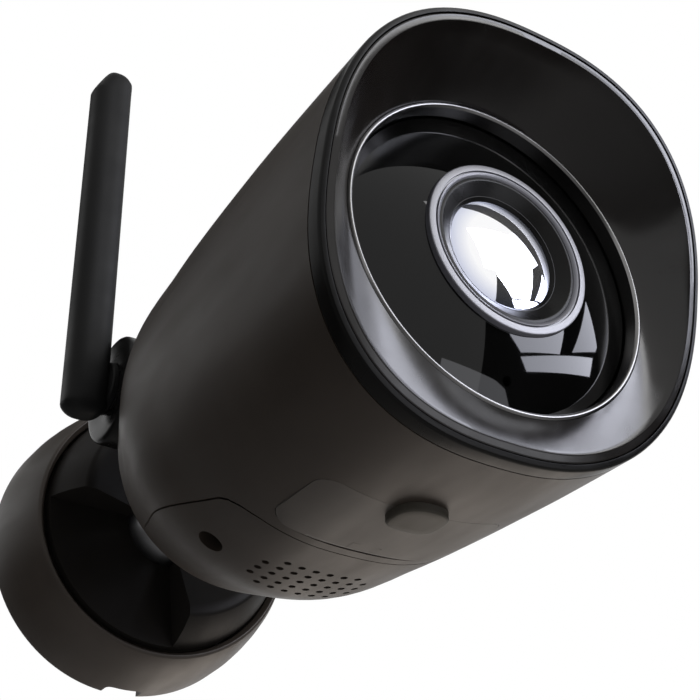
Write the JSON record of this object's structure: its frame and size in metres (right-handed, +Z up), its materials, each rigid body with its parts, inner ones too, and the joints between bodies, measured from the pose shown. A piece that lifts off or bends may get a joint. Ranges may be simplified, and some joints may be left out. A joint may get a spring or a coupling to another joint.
{
  "type": "security camera",
  "caption": "Wall-mounted bullet security camera with a ball-and-socket swivel mount, a swivelling paddle antenna, a hinged card door and a lens behind a dark domed window.",
  "frame": {"origin": "centre of the wall-screw circle, on the back face of the wall plate", "axes": "+Y into the wall, the camera looks along -Y, +Z up, -X the side that carries the antenna"},
  "size_m": [0.0832, 0.1685, 0.1319],
  "materials": {
    "shell_plastic": "satin",
    "mount_plastic": "satin",
    "collar_plastic": "matte",
    "door_plastic": "satin",
    "tab_plastic": "satin",
    "antenna_plastic": "matte",
    "trim_black": "gloss",
    "funnel_black": "semi-gloss",
    "dome_smoke": "gloss",
    "bright_ring": "polished",
    "lens_ring_grey": "satin",
    "lens_glass": "polished",
    "led_clear": "polished",
    "black_rubber": "matte",
    "inner_plastic": "matte",
    "chip_black": "gloss",
    "circuit_green": "satin",
    "screw_steel": "satin",
    "plate_steel": "satin",
    "stud_metal": "satin",
    "sink_aluminium": "satin",
    "insert_brass": "satin"
  },
  "bodies": {
    "wall_mount": {"base_cup": "mount_plastic", "cup_screws": "screw_steel", "friction_washer": "black_rubber", "wall_plate": "plate_steel"},
    "swivel_socket": {"socket_dome": "collar_plastic", "socket_screws": "screw_steel", "socket_seat": "mount_plastic", "swivel_retainer": "screw_steel"},
    "ball_arm": {"ball_stud": "stud_metal", "lock_ring": "mount_plastic"},
    "camera": {"antenna_coax": "black_rubber", "antenna_seal": "black_rubber", "bezel_funnel": "funnel_black", "bezel_ring": "bright_ring", "board_screws": "screw_steel", "cable_grommet": "black_rubber", "card_bay": "inner_plastic", "card_board": "circuit_green", "card_socket": "screw_steel", "chassis_frame": "inner_plastic", "dome_gasket": "black_rubber", "dome_window": "dome_smoke", "door_hinge_pin": "screw_steel", "front_frame": "inner_plastic", "front_lens": "lens_glass", "front_trim_ring": "trim_black", "heat_sink": "sink_aluminium", "image_sensor": "chip_black", "infrared_leds": "led_clear", "ir_cut_housing": "inner_plastic", "led_board": "circuit_green", "lens_barrel": "inner_plastic", "lens_holder": "inner_plastic", "lens_hood": "funnel_black", "lens_ring": "lens_ring_grey", "main_board": "circuit_green", "main_shell": "shell_plastic", "microphone": "inner_plastic", "rear_lens": "lens_glass", "reset_switch": "inner_plastic", "sensor_board": "circuit_green", "speaker": "inner_plastic", "speaker_gasket": "black_rubber", "tail_cover": "shell_plastic", "tail_screws": "screw_steel", "tail_seal": "black_rubber", "threaded_insert": "insert_brass"},
    "antenna": {"antenna_clip": "screw_steel", "antenna_element": "insert_brass", "antenna_hub": "funnel_black", "antenna_paddle": "antenna_plastic"},
    "card_door": {"card_door": "door_plastic", "door_seal": "black_rubber", "door_tab": "tab_plastic"},
    "reset_button": {"reset_button": "tab_plastic"},
    "ir_filter": {"ir_filter_slider": "inner_plastic"}
  },
  "joints": [
    {"name": "pan", "type": "hinge", "parent": "wall_mount", "child": "swivel_socket", "pos_m": [0, -0.013, 0], "axis": [0, 1, 0], "range_deg": [-175, 175]},
    {"name": "tilt", "type": "hinge", "parent": "swivel_socket", "child": "ball_arm", "pos_m": [0, -0.0205, 0], "axis": [0.7431, 0, -0.6691], "range_deg": [0, 40]},
    {"name": "roll", "type": "hinge", "parent": "ball_arm", "child": "camera", "pos_m": [0, -0.049, 0], "axis": [0, 1, 0], "range_deg": [-90, 90]},
    {"name": "antenna_swivel", "type": "hinge", "parent": "camera", "child": "antenna", "pos_m": [-0.0313, -0.061, 0.009], "axis": [1, 0, 0], "range_deg": [-40, 60]},
    {"name": "card_door_hinge", "type": "hinge", "parent": "camera", "child": "card_door", "pos_m": [0, -0.1093, -0.0362], "axis": [1, 0, 0], "range_deg": [0, 90]},
    {"name": "reset_press", "type": "slide", "parent": "camera", "child": "reset_button", "axis": [0, 0, 1], "range_m": [0, 0.0008], "stiffness_N_per_m": 400},
    {"name": "filter_slide", "type": "slide", "parent": "camera", "child": "ir_filter", "axis": [1, 0, 0], "range_m": [0, 0.007]}
  ]
}
